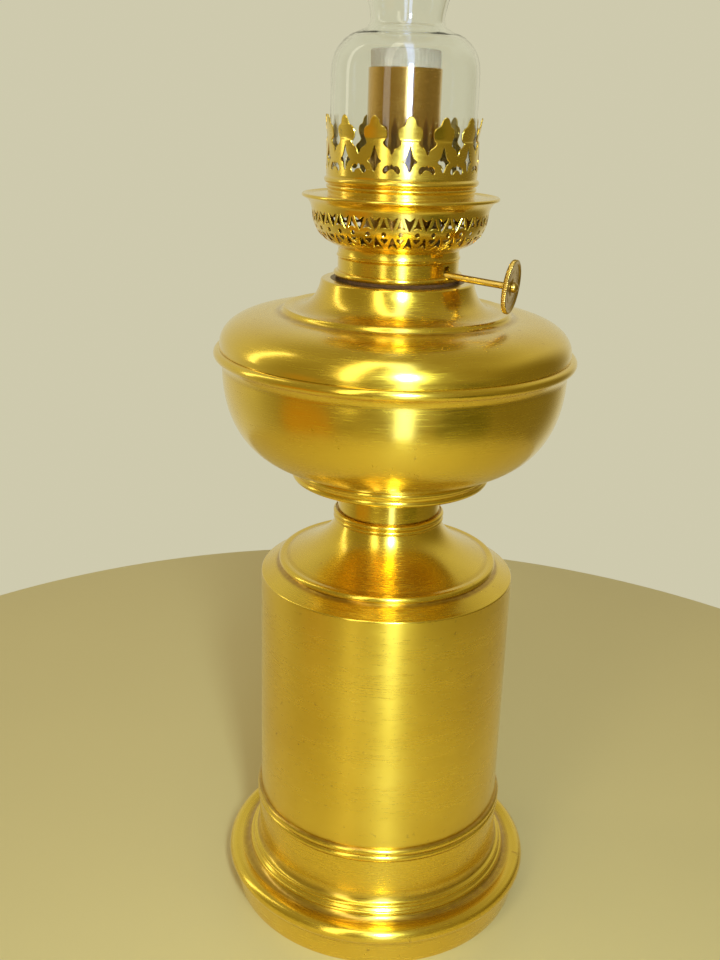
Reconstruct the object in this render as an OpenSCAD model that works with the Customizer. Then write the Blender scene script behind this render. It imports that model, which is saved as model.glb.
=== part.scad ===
// Pillar table lamp for paraffin oil: a hollow brass stand, a lift-out oil font,
// a round-wick burner with a pierced gallery, and a glass chimney.
// Millimetres, +Z up. The origin is on the axis at the level the lamp stands on.
// The thumb-wheel spindle points along +X; a crown prong faces -Y, the front.

/* [Foot] */
// Radius of the rim the lamp stands on
foot_rim_r = 60.8; // [58:0.1:62]
// Largest radius of the rolled moulding
foot_roll_r = 64.4; // [64:0.1:66]
// Height of the crease under the rolled moulding
foot_crease_z = 12; // [10:0.1:13]
// Radius of the riser above the steps
foot_riser_r = 51.3; // [51:0.1:51.6]
// Height of the spun foot
foot_h = 40.4; // [38:0.1:42]

/* [Pillar] */
// Outer radius of the pillar
pillar_r = 50.5; // [50:0.1:50.8]
// Height of the pillar's upper edge
pillar_top = 143.9; // [120:0.1:145]
// Height of the cap from the pillar's edge to the collar
cap_h = 22.3; // [21:0.1:25]
// Largest radius of the neck collar
collar_r = 21.9; // [21.6:0.1:22.5]
// Height of the neck collar
collar_h = 4.3; // [4:0.1:5]

/* [Font] */
// Radius of the stem that drops into the stand
stem_r = 20.2; // [19:0.1:20.3]
// Length of stem inside the stand
stem_depth = 38.5; // [20:0.5:45]
// Gap between the collar and the font's foot ring
stem_show = 13.6; // [10:0.1:20]
// Largest radius of the font's foot ring
font_ring_r = 38.7; // [37:0.1:40]
// Radius of the bowl at its widest
bowl_r = 65.2; // [60:0.1:66]
// Largest radius of the seam bead
seam_r = 68.4; // [67.5:0.1:69]
// Height from the foot ring to the seam bead
seam_rise = 49.2; // [45:0.1:55]
// Height from the seam bead to the flat of the dome
dome_rise = 15; // [12:0.1:18]
// Radius of the font's neck
neck_r = 28.4; // [27:0.1:29]
// Height from the flat of the dome to the neck's top
neck_rise = 12.7; // [11:0.1:15]

/* [Burner] */
// Radius of the screw flange
flange_r = 23.9; // [23:0.1:25]
// Radius of the burner case
case_r = 22.4; // [22:0.1:23]
// Outer radius of the visible wick tube
tube_r = 13; // [12.6:0.1:13]
// Height of the wick tube above the burner's seat
tube_rise = 73.2; // [60:0.1:80]
// Outer radius of the inner air tube
air_tube_r = 9.6; // [9:0.1:9.8]
// How far the wick stands out of its tube at rest
wick_show = 6.4; // [1:0.1:8]

/* [Wick raiser] */
// Distance of the spindle from the axis, towards the front
spindle_y = 7; // [6.5:0.1:7.5]
// Radius of the spindle
spindle_r = 1.25; // [1:0.05:1.5]
// Angle by which the spindle dips towards its wheel
spindle_dip = 5; // [0:0.5:6]
// Radius of the thumb wheel
wheel_r = 9.55; // [8:0.05:11]
// Distance of the wheel's outer face from the axis
wheel_x = 46; // [44:0.5:52]
// Teeth on the pinion
pinion_teeth = 8; // [8:1:8]
// Size of the rack and pinion teeth, as a module
tooth_module = 0.75; // [0.75:0.01:0.75]

/* [Gallery] */
// Radius of the pierced basket at its widest
basket_r = 32.4; // [31:0.1:33]
// Radius of the basket's rolled rim
basket_rim_r = 35.9; // [35:0.1:37]
// Height of the basket from its shoulder to the rim
basket_h = 21.7; // [20:0.1:24]
// Outer radius of the crown's band
crown_r = 27.3; // [27.2:0.1:27.6]
// Number of prongs on the crown
crown_prongs = 14; // [12:1:16]
// Number of pierced ovals round the basket
basket_ovals = 34; // [30:1:36]

/* [Chimney] */
// Outer radius of the chimney's body
glass_r = 26.1; // [25.8:0.1:26.1]
// Height of the chimney's body, up to its shoulder
glass_body_h = 33.6; // [30:0.1:36]
// Outer radius of the chimney's waist
waist_r = 12.9; // [12.8:0.1:14]
// Outer radius of the chimney at its upper end
glass_top_r = 17.8; // [16:0.1:20]
// Overall length of the chimney
glass_len = 254; // [220:1:280]

/* [Hidden] */

$fn = 96;
sheet = 0.7;       // spun brass sheet
thin = 0.5;        // pierced brass sheet
run_gap = 0.08;    // radial clearance of the running fits

// Levels, from the table upwards
bead_h = 6;
cap_z = pillar_top;
collar_z = cap_z + cap_h;
collar_top = collar_z + collar_h;
font_z = collar_top + stem_show;
bowl_z = font_z + 6.4;
seam_z = font_z + seam_rise;
dome_z = seam_z + dome_rise;
neck_z = dome_z + neck_rise;
gasket_h = 1.1;
seat_z = neck_z + gasket_h;
flange_top = seat_z + 2.1;
case_top = seat_z + 6.9;
basket_z = case_top + 3.5;
rim_z = basket_z + basket_h - 3.4;
crown_z = rim_z + 0.6;
glass_z = crown_z + 6;
tube_top = seat_z + tube_rise - 1.1;
tube_bottom = neck_z - 23;
wick_top = tube_top + wick_show;
stem_bottom = collar_top - stem_depth;
socket_r = stem_r + run_gap;
thread_r = 21.4;

// Wick raiser
pitch_r = tooth_module * pinion_teeth / 2;
tooth_pitch = PI * tooth_module;
wick_down = 18;
wick_up = 6;
shaft_exit_x = sqrt(pow(case_r, 2) - pow(spindle_y, 2));
shaft_exit_z = seat_z + 2.7;
shaft_start = 12.1;
pinion_x = 15.2;
pinion_w = 2.2;
mesh_z = shaft_exit_z + (shaft_exit_x - pinion_x) * tan(spindle_dip);
rack_x = pinion_x - 1.3;
rack_w = 2.6;
rack_y = pitch_r - spindle_y;
rack_low = mesh_z - wick_up - 3 * tooth_module;
rack_high = mesh_z + wick_down + 3 * tooth_module;
carrier_h = 8;
carrier_r = tube_r - 0.7;
wick_bore = air_tube_r + 0.5;
duct_z = seat_z + 4.5;
duct_h = 11;
duct_w = 6;

brass = [0.80, 0.64, 0.22];
old_brass = [0.66, 0.50, 0.20];
steel = [0.55, 0.55, 0.54];

// ---- outline helpers: lists of [radius, height] ----
function arc(c, r, a0, a1, n = 8) =
    [for (i = [0:n]) let (a = a0 + (a1 - a0) * i / n) [c[0] + r * cos(a), c[1] + r * sin(a)]];
function bez(a, b, c, d, n = 10) =
    [for (i = [0:n]) let (t = i / n, s = 1 - t)
        s * s * s * a + 3 * s * s * t * b + 3 * s * t * t * c + t * t * t * d];
function flip(p) = [for (i = [len(p) - 1:-1:0]) p[i]];
function unit(v) = v / norm(v);
// The same curve, moved a distance t to the left of its direction
function inset(p, t) =
    [for (i = [0:len(p) - 1])
        let (d = unit(p[min(i + 1, len(p) - 1)] - p[max(i - 1, 0)])) p[i] + t * [-d[1], d[0]]];

module turned(outline) {
    rotate_extrude() polygon(outline);
}
module ring(r_in, r_out, z0, z1) {
    turned([[r_in, z0], [r_out, z0], [r_out, z1], [r_in, z1]]);
}

// ---- stand ----
module foot_shell() {
    outer = concat(
        [[foot_rim_r, 0], [foot_rim_r + 0.5, 2], [foot_rim_r + 2, foot_crease_z - 0.5],
         [foot_rim_r + 2.2, foot_crease_z]],
        arc([foot_roll_r - 3.3, foot_crease_z + 1.6], 3.3, -28, 95, 12),
        bez([59.2, 16.6], [58.3, 16.2], [56.6, 16.1], [55.4, 17.6], 5),
        arc([54.4, 18.5], 0.9, -30, 90, 5),
        arc([53.2, 20.8], 0.8, -50, 90, 5),
        bez([52.6, 21.9], [51.9, 22.6], [foot_riser_r, 24], [foot_riser_r, 26], 5),
        [[foot_riser_r, foot_h]]);
    inner = [[foot_riser_r - sheet, foot_h], [foot_riser_r - sheet, 24.5], [52.4, 20], [54, 17],
             [56.6, 15.4], [61, 15.6], [62.8, 14.6], [63.3, 13.3], [62.5, 12.4],
             [foot_rim_r + 1.1, foot_crease_z - 0.6], [foot_rim_r - 0.2, 2.2],
             [foot_rim_r - 0.7, 0]];
    color(brass) turned(concat(outer, inner));
}

// Two half-rounds that cover the joint of the foot and the pillar
module foot_bead() {
    outer = concat(arc([50.6, foot_h + 1.5], 1.5, -90, 75, 7), arc([50.5, foot_h + 4.3], 1.6, -60, 90, 7));
    color(brass) turned(concat(outer, [[foot_riser_r - sheet, foot_h + bead_h - 0.1],
                                       [foot_riser_r - sheet, foot_h]]));
}

module pillar_tube() {
    color(brass) ring(pillar_r - sheet, pillar_r, foot_h + bead_h - 0.1, cap_z);
}

module pillar_cap() {
    outer = concat(
        [[pillar_r, cap_z]],
        arc([pillar_r - 0.7, cap_z], 0.7, 10, 62, 4),
        bez([49.6, cap_z + 0.8], [47.5, cap_z + 1.9], [45.5, cap_z + 3], [43.5, cap_z + 3.8], 5),
        arc([42, cap_z + 5.4], 1.5, -50, 90, 7),
        bez([41.2, cap_z + 6.9], [40.6, cap_z + 6.7], [40, cap_z + 6.9], [39.4, cap_z + 7.2], 3),
        bez([38.4, cap_z + 7.7], [31.5, cap_z + 10.8], [23.5, cap_z + 15], [collar_r - 0.8, cap_z + cap_h], 14));
    inner = concat(
        [[21.06, cap_z + cap_h], [21.06, cap_z + 19.5]],
        bez([22, cap_z + 16.4], [25, cap_z + 12.6], [31.5, cap_z + 9.4], [38.4, cap_z + 6.6], 8),
        [[41.2, cap_z + 5.2], [43, cap_z + 3.1], [49.4, cap_z], [pillar_r - sheet, cap_z]]);
    color(brass) turned(concat(outer, inner));
}

module neck_collar() {
    outer = concat([[collar_r - 0.8, collar_z]], arc([collar_r - 1, collar_z + 1.1], 1, -70, 60, 6),
                   arc([collar_r - 1.1, collar_z + 3.1], 1.15, -55, 72, 6));
    color(brass) turned(concat(outer, [[21.06, collar_top], [21.06, collar_z]]));
}

// Sleeve with an inward flange that the font's stem stands on
module stem_socket() {
    color(old_brass) turned([[16, stem_bottom - 1], [21, stem_bottom - 1], [21, collar_top - 0.5],
                             [socket_r, collar_top - 0.5], [socket_r, stem_bottom], [16, stem_bottom]]);
}

module ballast_ring() {
    color([0.25, 0.24, 0.23]) difference() {
        turned([[22, 2.4], [58.6, 2.4], [59.6, 11.4], [53, 13.6], [50.6, 22], [22, 22]]);
        screw_places() translate([0, 0, 2.3]) cylinder(r = 1.9, h = 9, $fn = 32);
    }
}

module base_plate() {
    color(steel) difference() {
        ring(9, foot_rim_r - 1.2, 1.2, 2.4);
        screw_places() translate([0, 0, 1.1]) cylinder(r = 2.3, h = 1.4, $fn = 32);
    }
}

module screw_places() {
    for (a = [90, 210, 330])
        rotate([0, 0, a]) translate([40, 0, 0]) children();
}

module base_screws() {
    color(steel) screw_places() {
        cylinder(r = 1.9, h = 10.5, $fn = 32);
        translate([0, 0, 0.2]) cylinder(r = 3.6, h = 1, $fn = 32);
    }
}

module felt_ring() {
    color([0.12, 0.24, 0.16]) difference() {
        ring(26, foot_rim_r - 2.2, 0, 1.2);
        screw_places() translate([0, 0, -0.5]) cylinder(r = 4.4, h = 2.4, $fn = 32);
    }
}

// ---- font ----
module font_stem() {
    color(brass) turned([[0, stem_bottom], [stem_r - 1, stem_bottom], [stem_r, stem_bottom + 1],
                         [stem_r, font_z + 1.4], [stem_r - sheet, font_z + 1.4],
                         [stem_r - sheet, stem_bottom + sheet + 1], [0, stem_bottom + sheet + 1]]);
}

module font_foot_ring() {
    outer = concat([[stem_r, font_z + 0.6], [font_ring_r - 2.2, font_z]],
                   arc([font_ring_r - 1.5, font_z + 1.4], 1.4, -80, 50, 7),
                   arc([font_ring_r - 1.2, font_z + 4.4], 1.3, -50, 50, 6),
                   [[font_ring_r - 0.5, bowl_z - 0.2]]);
    color(brass) turned(concat(outer, [[font_ring_r - 2.6, bowl_z - 0.9], [font_ring_r - 3.2, font_z + 1.6],
                                       [stem_r, font_z + 1.4]]));
}

module font_bowl() {
    outer = concat(
        [[stem_r + 0.02, font_z + 1.5], [font_ring_r - 3.4, font_z + 1.8], [font_ring_r - 2.7, bowl_z - 0.7],
         [font_ring_r - 0.4, bowl_z]],
        bez([font_ring_r + 1, bowl_z + 0.4], [bowl_r - 9.5, bowl_z + 3.3], [bowl_r, bowl_z + 16.8],
            [bowl_r, seam_z - 5.7], 16),
        bez([bowl_r, seam_z - 5.2], [bowl_r + 0.1, seam_z - 4], [bowl_r + 0.6, seam_z - 3], [bowl_r + 1.3, seam_z - 2.2], 4));
    inner = concat(
        [[bowl_r + 0.6, seam_z - 1.6]],
        bez([bowl_r - sheet, seam_z - 5.5], [bowl_r - sheet, bowl_z + 17.2], [bowl_r - 10.2, bowl_z + 4.1],
            [font_ring_r + 0.4, bowl_z + 1.1], 12),
        [[font_ring_r - 3.4, bowl_z + 0.2], [font_ring_r - 4.3, font_z + 2.5], [stem_r + 0.02, font_z + 2.2]]);
    color(brass) turned(concat(outer, inner));
}

module seam_bead() {
    outer = concat([[bowl_r + 1.3, seam_z - 2.2]], arc([seam_r - 2, seam_z], 2, -72, 75, 12));
    color(brass) turned(concat(outer, [[bowl_r + 0.3, seam_z + 1.9], [bowl_r + 0.3, seam_z - 1.3],
                                       [bowl_r + 0.7, seam_z - 1.66]]));
}

module font_dome() {
    outer = concat(
        [[bowl_r + 0.98, seam_z + 2]],
        bez([bowl_r + 0.95, seam_z + 3.2], [bowl_r + 0.95, seam_z + 10.6], [57.5, dome_z], [45.8, dome_z], 16),
        bez([44.6, dome_z + 0.1], [43.4, dome_z + 0.3], [42.8, dome_z + 0.9], [42.4, dome_z + 1.9], 4),
        bez([41.9, dome_z + 2.3], [40.8, dome_z + 2.3], [39.2, dome_z + 1.8], [38, dome_z + 1.9], 4),
        bez([37, dome_z + 2], [32.4, dome_z + 2.8], [29.8, dome_z + 6.4], [neck_r + 0.2, dome_z + 11.6], 12),
        arc([neck_r - 0.8, neck_z - 1], 1, 10, 90, 5),
        [[25, neck_z]]);
    inner = concat(
        [[25, neck_z - sheet], [neck_r - 1, neck_z - 1.2]],
        bez([neck_r - 0.5, dome_z + 10.6], [29, dome_z + 6], [31.6, dome_z + 2.2], [37, dome_z + 1.1], 9),
        [[41, dome_z + 1.2], [43.2, dome_z - 0.6]],
        bez([45.6, dome_z - sheet], [57, dome_z - sheet], [bowl_r + 0.25, seam_z + 10.2],
            [bowl_r + 0.25, seam_z + 3], 12),
        [[bowl_r + 0.28, seam_z + 2]]);
    color(brass) turned(concat(outer, inner));
}

// Threaded ring soldered under the neck; the burner's plug runs in its bore
module burner_socket() {
    color(old_brass) turned([[thread_r + run_gap, neck_z - 6.4], [24.2, neck_z - 6.4],
                             [25.4, neck_z - 1.4], [25, neck_z - sheet], [25, neck_z],
                             [thread_r + run_gap, neck_z]]);
}

// Gasket that travels with the burner as it is unscrewed
module collar_gasket() {
    color([0.10, 0.07, 0.05]) ring(thread_r + 0.35, flange_r - 0.9, neck_z, seat_z);
}

// ---- burner ----
module burner_flange() {
    outer = concat([[thread_r, neck_z - 5.6], [thread_r, seat_z - 0.02], [thread_r, seat_z],
                    [flange_r - 0.6, seat_z]],
                   arc([flange_r - 1.05, seat_z + 1.05], 1.05, -60, 90, 7));
    color(brass) difference() {
        turned(concat(outer, [[tube_r, flange_top], [tube_r, flange_top - 1], [thread_r - 1.2, flange_top - 1],
                              [thread_r - 1.2, neck_z - 5.6]]));
        // room for the rack and the pinion, and a groove under the spindle
        translate([rack_x - 0.4, -spindle_y - 4.2, neck_z - 8]) cube([rack_w + 0.8, 10.2, 20]);
        translate([tube_r - 2, rack_y + 0.4, neck_z - 8]) cube([3, 2.4, 20]);
        spindle_line() translate([0, 0, 12]) cylinder(r = spindle_r + 0.35, h = 16, $fn = 48);
    }
}

// Case with a spigot that the gallery's collar fits over
module burner_case() {
    slot_up = 1.6;
    wall = [[case_r - 0.6, flange_top], [case_r, flange_top], [case_r, case_top - 0.3],
            [case_r - 0.3, case_top], [21.6, case_top], [21.6, case_top + 5], [21.1, case_top + 5],
            [21.1, case_top - 0.8], [case_r - 0.6, case_top - 1.2]];
    color(brass) difference() {
        turned(wall);
        // upright slot with round ends, so that the spindle can be fitted
        spindle_line() for (up = [0, slot_up])
            translate([-up, 0, shaft_exit_x - 4]) cylinder(r = spindle_r + 0.5, h = 8, $fn = 48);
        spindle_line() translate([-slot_up, -spindle_r - 0.5, shaft_exit_x - 4])
            cube([slot_up, 2 * spindle_r + 1, 8]);
    }
}

module outer_wick_tube() {
    slot_h = wick_up + carrier_h + 22;
    color([0.78, 0.55, 0.24]) difference() {
        turned([[tube_r - 0.35, tube_bottom], [tube_r, tube_bottom], [tube_r, tube_top - 0.2],
                [tube_r - 0.15, tube_top], [tube_r - 0.35, tube_top]]);
        translate([tube_r - 4, rack_y - 0.6, tube_bottom - 1]) cube([6, 3.4, slot_h]);
        translate([-tube_r - 1, -duct_w / 2, duct_z]) cube([6, duct_w, duct_h]);
    }
}

module inner_air_tube() {
    low = tube_bottom + 3;
    color(old_brass) difference() {
        turned([[0, low], [air_tube_r - 1, low], [air_tube_r, low + 1], [air_tube_r, tube_top - 1],
                [air_tube_r - 0.4, tube_top - 1], [air_tube_r - 0.4, low + 1.2], [0, low + 0.8]]);
        translate([-air_tube_r - 1, -duct_w / 2, duct_z]) cube([4, duct_w, duct_h]);
    }
}

// Passage that lets air through the split of the wick into the inner tube
module air_duct() {
    color(old_brass) difference() {
        translate([-tube_r - 0.6, -duct_w / 2, duct_z])
            cube([tube_r + 0.6 - air_tube_r + 1.2, duct_w, duct_h]);
        translate([-tube_r - 2, -duct_w / 2 + 0.5, duct_z + 0.5])
            cube([8, duct_w - 1, duct_h - 1]);
    }
}

// ---- wick raiser: local +Z runs out along the spindle, local X points down ----
module spindle_line() {
    translate([0, -spindle_y, shaft_exit_z + shaft_exit_x * tan(spindle_dip)])
        rotate([0, 90 + spindle_dip, 0]) children();
}
function along(x) = x / cos(spindle_dip);

module spindle_bracket() {
    posts = [12.3, 17.4];
    bridge_z = mesh_z + 3.8;
    color(old_brass) difference() {
        union() {
            for (x = posts)
                translate([x, -spindle_y - 2.6, flange_top]) cube([1.2, 4.4, bridge_z - flange_top]);
            translate([posts[0], -spindle_y - 2.6, bridge_z - 0.01])
                cube([posts[1] - posts[0] + 1.2, 4.4, 0.8]);
        }
        spindle_line() cylinder(r = spindle_r + 0.06, h = 30, $fn = 48);
    }
}

module spindle_shaft() {
    color(old_brass) spindle_line() translate([0, 0, along(shaft_start)])
        cylinder(r = spindle_r, h = along(wheel_x - shaft_start) - 0.2, $fn = 48);
}

module pinion() {
    tip = pitch_r + 0.8 * tooth_module;
    root = pitch_r - 1.05 * tooth_module;
    half_tip = 0.16 * tooth_pitch;
    half_root = 0.3 * tooth_pitch;
    color(old_brass) spindle_line() translate([0, 0, along(pinion_x) - pinion_w / 2])
        linear_extrude(height = pinion_w) difference() {
            union() {
                circle(r = root, $fn = 48);
                for (i = [0:pinion_teeth - 1])
                    rotate([0, 0, 90 + i * 360 / pinion_teeth])
                        polygon([[root - 0.4, -half_root], [tip, -half_tip], [tip, half_tip],
                                 [root - 0.4, half_root]]);
            }
            circle(r = spindle_r, $fn = 48);
        }
}

module thumb_wheel() {
    rim = 1.7;
    color(old_brass) spindle_line() translate([0, 0, along(wheel_x) - rim])
        rotate_extrude() polygon([[spindle_r, 0.2], [3, 0.2], [3.4, 0.5], [wheel_r - 1.2, 0.5], [wheel_r - 0.9, 0],
                                  [wheel_r, 0.3], [wheel_r, rim - 0.3], [wheel_r - 0.9, rim],
                                  [wheel_r - 1.3, rim - 0.45], [3, rim - 0.5], [2.4, rim - 0.15],
                                  [spindle_r, rim - 0.15]]);
}

module wheel_rivet() {
    color(old_brass) spindle_line() translate([0, 0, along(wheel_x) - 0.15])
        rotate_extrude() polygon(concat([[0, 0], [1.9, 0]], arc([0, 0], 1.9, 8, 90, 6)));
}

// ---- wick and its carrier ----
module wick() {
    low = rack_low - 6;
    slot_top = duct_z + duct_h + wick_down + 3;
    color([0.93, 0.90, 0.82]) difference() {
        turned([[wick_bore, low], [carrier_r - 0.25, low], [carrier_r - 0.25, rack_low + carrier_h],
                [carrier_r, rack_low + carrier_h], [carrier_r, wick_top - 1.2], [carrier_r - 0.9, wick_top],
                [wick_bore + 0.4, wick_top], [wick_bore, wick_top - 0.4]]);
        translate([-tube_r, -duct_w / 2 - 1, low - 1]) cube([tube_r, duct_w + 2, slot_top - low + 1]);
    }
}

module wick_carrier() {
    color(old_brass) difference() {
        union() {
            ring(carrier_r - 0.25, carrier_r, rack_low, rack_low + carrier_h);
            difference() {
                translate([carrier_r - 1, rack_y + 0.9, rack_low]) cube([rack_x - carrier_r + 1, 1.4, 2]);
                cylinder(r = carrier_r - 0.2, h = 900);
            }
        }
        translate([-tube_r, -duct_w / 2 - 1, rack_low - 1]) cube([tube_r - 2, duct_w + 2, carrier_h + 2]);
    }
}

module wick_rack() {
    add = 0.8 * tooth_module;
    ded = 1.05 * tooth_module;
    half_tip = 0.1 * tooth_pitch;
    half_root = 0.24 * tooth_pitch;
    first = ceil((rack_low - mesh_z) / tooth_pitch - 0.2);
    last = floor((rack_high - mesh_z) / tooth_pitch - 0.8);
    teeth = [for (i = [first:last], q = [[ded, -half_root], [-add, -half_tip], [-add, half_tip], [ded, half_root]])
             [q[0], q[1] + mesh_z + (i + 0.5) * tooth_pitch]];
    color(old_brass) translate([rack_x, rack_y, 0]) rotate([90, 0, 90]) linear_extrude(height = rack_w)
        polygon(concat([[ded + 1.5, rack_high], [ded + 1.5, rack_low], [ded, rack_low]], teeth, [[ded, rack_high]]));
}

module wick_tails() {
    top = rack_low - 6;
    length = 42;
    color([0.90, 0.86, 0.76]) intersection() {
        ring(wick_bore + 0.2, carrier_r - 0.25, top - length, top);
        translate([-6, -tube_r, top - length]) cube([12, 2 * tube_r, length]);
    }
}

// ---- gallery ----
module gallery_collar() {
    bore = 21.6 + run_gap;
    outer = concat([[case_r - 0.1, case_top + 0.1]], arc([case_r - 0.5, case_top + 1.6], 1.45, -60, 60, 8),
                   [[case_r, basket_z]]);
    color(brass) turned(concat(outer, [[bore, basket_z], [bore, case_top + 0.1]]));
}

function basket_outline() = concat(
    [[case_r, basket_z]],
    bez([case_r + 0.6, basket_z + 0.7], [case_r + 4.8, basket_z + 2.1], [basket_r - 1.4, basket_z + 5],
        [basket_r - 0.5, basket_z + 10.4], 12),
    bez([basket_r - 0.4, basket_z + 11.4], [basket_r, basket_z + 14.6], [basket_r + 0.2, basket_z + 16.2],
        [basket_rim_r - 0.8, rim_z - 0.6], 7));

module basket() {
    rim = arc([basket_rim_r - 0.7, rim_z], 0.7, -60, 120, 8);
    top = [[33.6, rim_z + 0.1], [28.4, crown_z], [crown_r - 0.7, crown_z], [crown_r - 0.7, crown_z - thin],
           [28.4, crown_z - thin], [33.4, rim_z - 0.5]];
    hole_h = 4.2;
    color(brass) difference() {
        turned(concat(basket_outline(), rim, top, flip(inset(basket_outline(), thin))));
        for (i = [0:basket_ovals - 1])
            rotate([0, 0, -90 + i * 360 / basket_ovals])
                translate([24, 0, basket_z + 10.6]) rotate([0, 90, 0])
                    linear_extrude(height = 12) polygon([[-1.8, 0], [1.8, 1.3], [1.8, -1.3]]);
    }
}

module crown() {
    pitch = 360 / crown_prongs;
    leaf_z = crown_z + 19.3;
    outer = concat(
        [[crown_r - 0.7, crown_z - thin], [crown_r - 0.7, crown_z + 2.4], [crown_r - 0.85, crown_z + 3.2]],
        arc([crown_r - 0.4, crown_z + 5], 1.2, -70, 70, 8),
        [[crown_r - 0.05, crown_z + 6.6], [crown_r, crown_z + 18], [crown_r - 0.25, leaf_z],
         [crown_r + 0.3, leaf_z + 3.6], [crown_r + 0.9, leaf_z + 7.4]]);
    inner = [[crown_r + 0.4, leaf_z + 7.4], [crown_r - 0.2, leaf_z + 3.6], [crown_r - 0.7, leaf_z],
             [crown_r - thin, crown_z + 17.6], [crown_r - thin, crown_z + 5], [crown_r - 1.2, crown_z + 3.8],
             [crown_r - 1.2, crown_z - thin]];
    color(brass) difference() {
        turned(concat(outer, inner));
        for (i = [0:crown_prongs - 1])
            rotate([0, 0, -90 + i * pitch]) {
                // star-shaped opening under each prong
                translate([22, 0, crown_z + 13.4]) rotate([0, 90, 0]) linear_extrude(height = 10)
                    polygon([[-4, 0], [-0.6, 0.8], [0, 2], [1, 0.9], [2.4, 0], [1, -0.9], [0, -2], [-0.6, -0.8]]);
                // gap between two prongs, narrow between the leaves
                rotate([0, 0, pitch / 2]) translate([22, 0, 0]) rotate([90, 0, 90]) linear_extrude(height = 10)
                    polygon([[0, crown_z + 15.6], [3.2, crown_z + 18.2], [3, crown_z + 20.4], [1.9, crown_z + 22.4],
                             [3.6, crown_z + 25.4], [4.8, crown_z + 28], [-4.8, crown_z + 28],
                             [-3.6, crown_z + 25.4], [-1.9, crown_z + 22.4], [-3, crown_z + 20.4],
                             [-3.2, crown_z + 18.2]]);
            }
    }
}

// Shelf inside the crown that the chimney stands on
module chimney_seat() {
    color(old_brass) difference() {
        turned([[16.6, glass_z - 3], [21, glass_z - 3], [23.2, glass_z - 0.7], [crown_r - thin - 0.02, glass_z - 0.7],
                [crown_r - thin - 0.02, glass_z], [23, glass_z], [20.7, glass_z - 2.3], [16.6, glass_z - 2.3]]);
        for (i = [0:11])
            rotate([0, 0, i * 30]) translate([18.9, 0, glass_z - 4]) cylinder(r = 1.2, h = 3, $fn = 32);
    }
}

// ---- chimney ----
module chimney() {
    shoulder_z = glass_z + glass_body_h;
    waist_z = shoulder_z + 18.4;
    wall = 1.3;
    outer = concat(
        [[glass_r, glass_z + 0.6], [glass_r, shoulder_z - 1]],
        bez([glass_r, shoulder_z], [glass_r, shoulder_z + 7], [glass_r - 1.6, shoulder_z + 10], [20.4, shoulder_z + 13.2], 10),
        bez([19.6, shoulder_z + 13.7], [17.6, shoulder_z + 14.8], [waist_r, waist_z - 2.8], [waist_r, waist_z], 8),
        bez([waist_r, waist_z + 0.8], [waist_r + 0.4, waist_z + 8], [21, waist_z + 22], [21, waist_z + 46], 14),
        [[20.9, waist_z + 52], [glass_top_r, glass_z + glass_len - 46], [glass_top_r, glass_z + glass_len - 0.6]]);
    color([0.86, 0.92, 0.90, 0.35])
        turned(concat(outer, [[glass_top_r - 0.5, glass_z + glass_len], [glass_top_r - wall, glass_z + glass_len]],
                      flip(inset(outer, wall)), [[glass_r - wall, glass_z], [glass_r - 0.5, glass_z]]));
}

foot_shell();
foot_bead();
pillar_tube();
pillar_cap();
neck_collar();
stem_socket();
ballast_ring();
base_plate();
base_screws();
felt_ring();
font_stem();
font_foot_ring();
font_bowl();
seam_bead();
font_dome();
burner_socket();
collar_gasket();
burner_flange();
burner_case();
outer_wick_tube();
inner_air_tube();
air_duct();
spindle_bracket();
spindle_shaft();
pinion();
thumb_wheel();
wheel_rivet();
wick();
wick_carrier();
wick_rack();
wick_tails();
gallery_collar();
basket();
crown();
chimney_seat();
chimney();
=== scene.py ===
import math

import bpy
import numpy as np
from mathutils import Matrix, Vector, geometry


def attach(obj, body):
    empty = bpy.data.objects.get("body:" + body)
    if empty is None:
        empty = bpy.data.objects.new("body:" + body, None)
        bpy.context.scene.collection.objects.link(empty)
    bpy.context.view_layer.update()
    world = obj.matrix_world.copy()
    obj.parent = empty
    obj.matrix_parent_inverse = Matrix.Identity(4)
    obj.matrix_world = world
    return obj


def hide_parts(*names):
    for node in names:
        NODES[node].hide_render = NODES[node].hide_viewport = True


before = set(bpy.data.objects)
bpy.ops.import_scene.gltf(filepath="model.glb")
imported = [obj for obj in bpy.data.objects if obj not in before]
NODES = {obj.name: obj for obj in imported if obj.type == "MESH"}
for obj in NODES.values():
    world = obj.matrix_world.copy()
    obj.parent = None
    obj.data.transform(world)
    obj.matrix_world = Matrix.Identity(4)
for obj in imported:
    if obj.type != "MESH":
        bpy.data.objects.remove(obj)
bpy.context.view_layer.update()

# ---------------------------------------------------------------- levels, in mm
FOOT_H = 40.4
CAP_Z = 143.9
CAP_H = 22.3
COLLAR_Z = CAP_Z + CAP_H
FONT_Z = COLLAR_Z + 17.9
BOWL_Z = FONT_Z + 6.4
SEAM_Z = FONT_Z + 49.2
DOME_Z = SEAM_Z + 15
NECK_Z = DOME_Z + 12.7
SEAT_Z = NECK_Z + 1.1
CASE_TOP = SEAT_Z + 6.9
BASKET_Z = CASE_TOP + 3.5
RIM_Z = BASKET_Z + 18.3
CROWN_Z = RIM_Z + 0.6
GLASS_Z = CROWN_Z + 6
TUBE_TOP = SEAT_Z + 72.1
WICK_TOP = TUBE_TOP + 6.4


# ---------------------------------------------------------------- outlines: lists of (radius, height) in mm
def arc(c, r, a0, a1, n=8):
    """Points on an arc round c, from angle a0 to a1 in degrees."""
    return [(c[0] + r * math.cos(math.radians(a0 + (a1 - a0) * i / n)),
             c[1] + r * math.sin(math.radians(a0 + (a1 - a0) * i / n))) for i in range(n + 1)]


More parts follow.
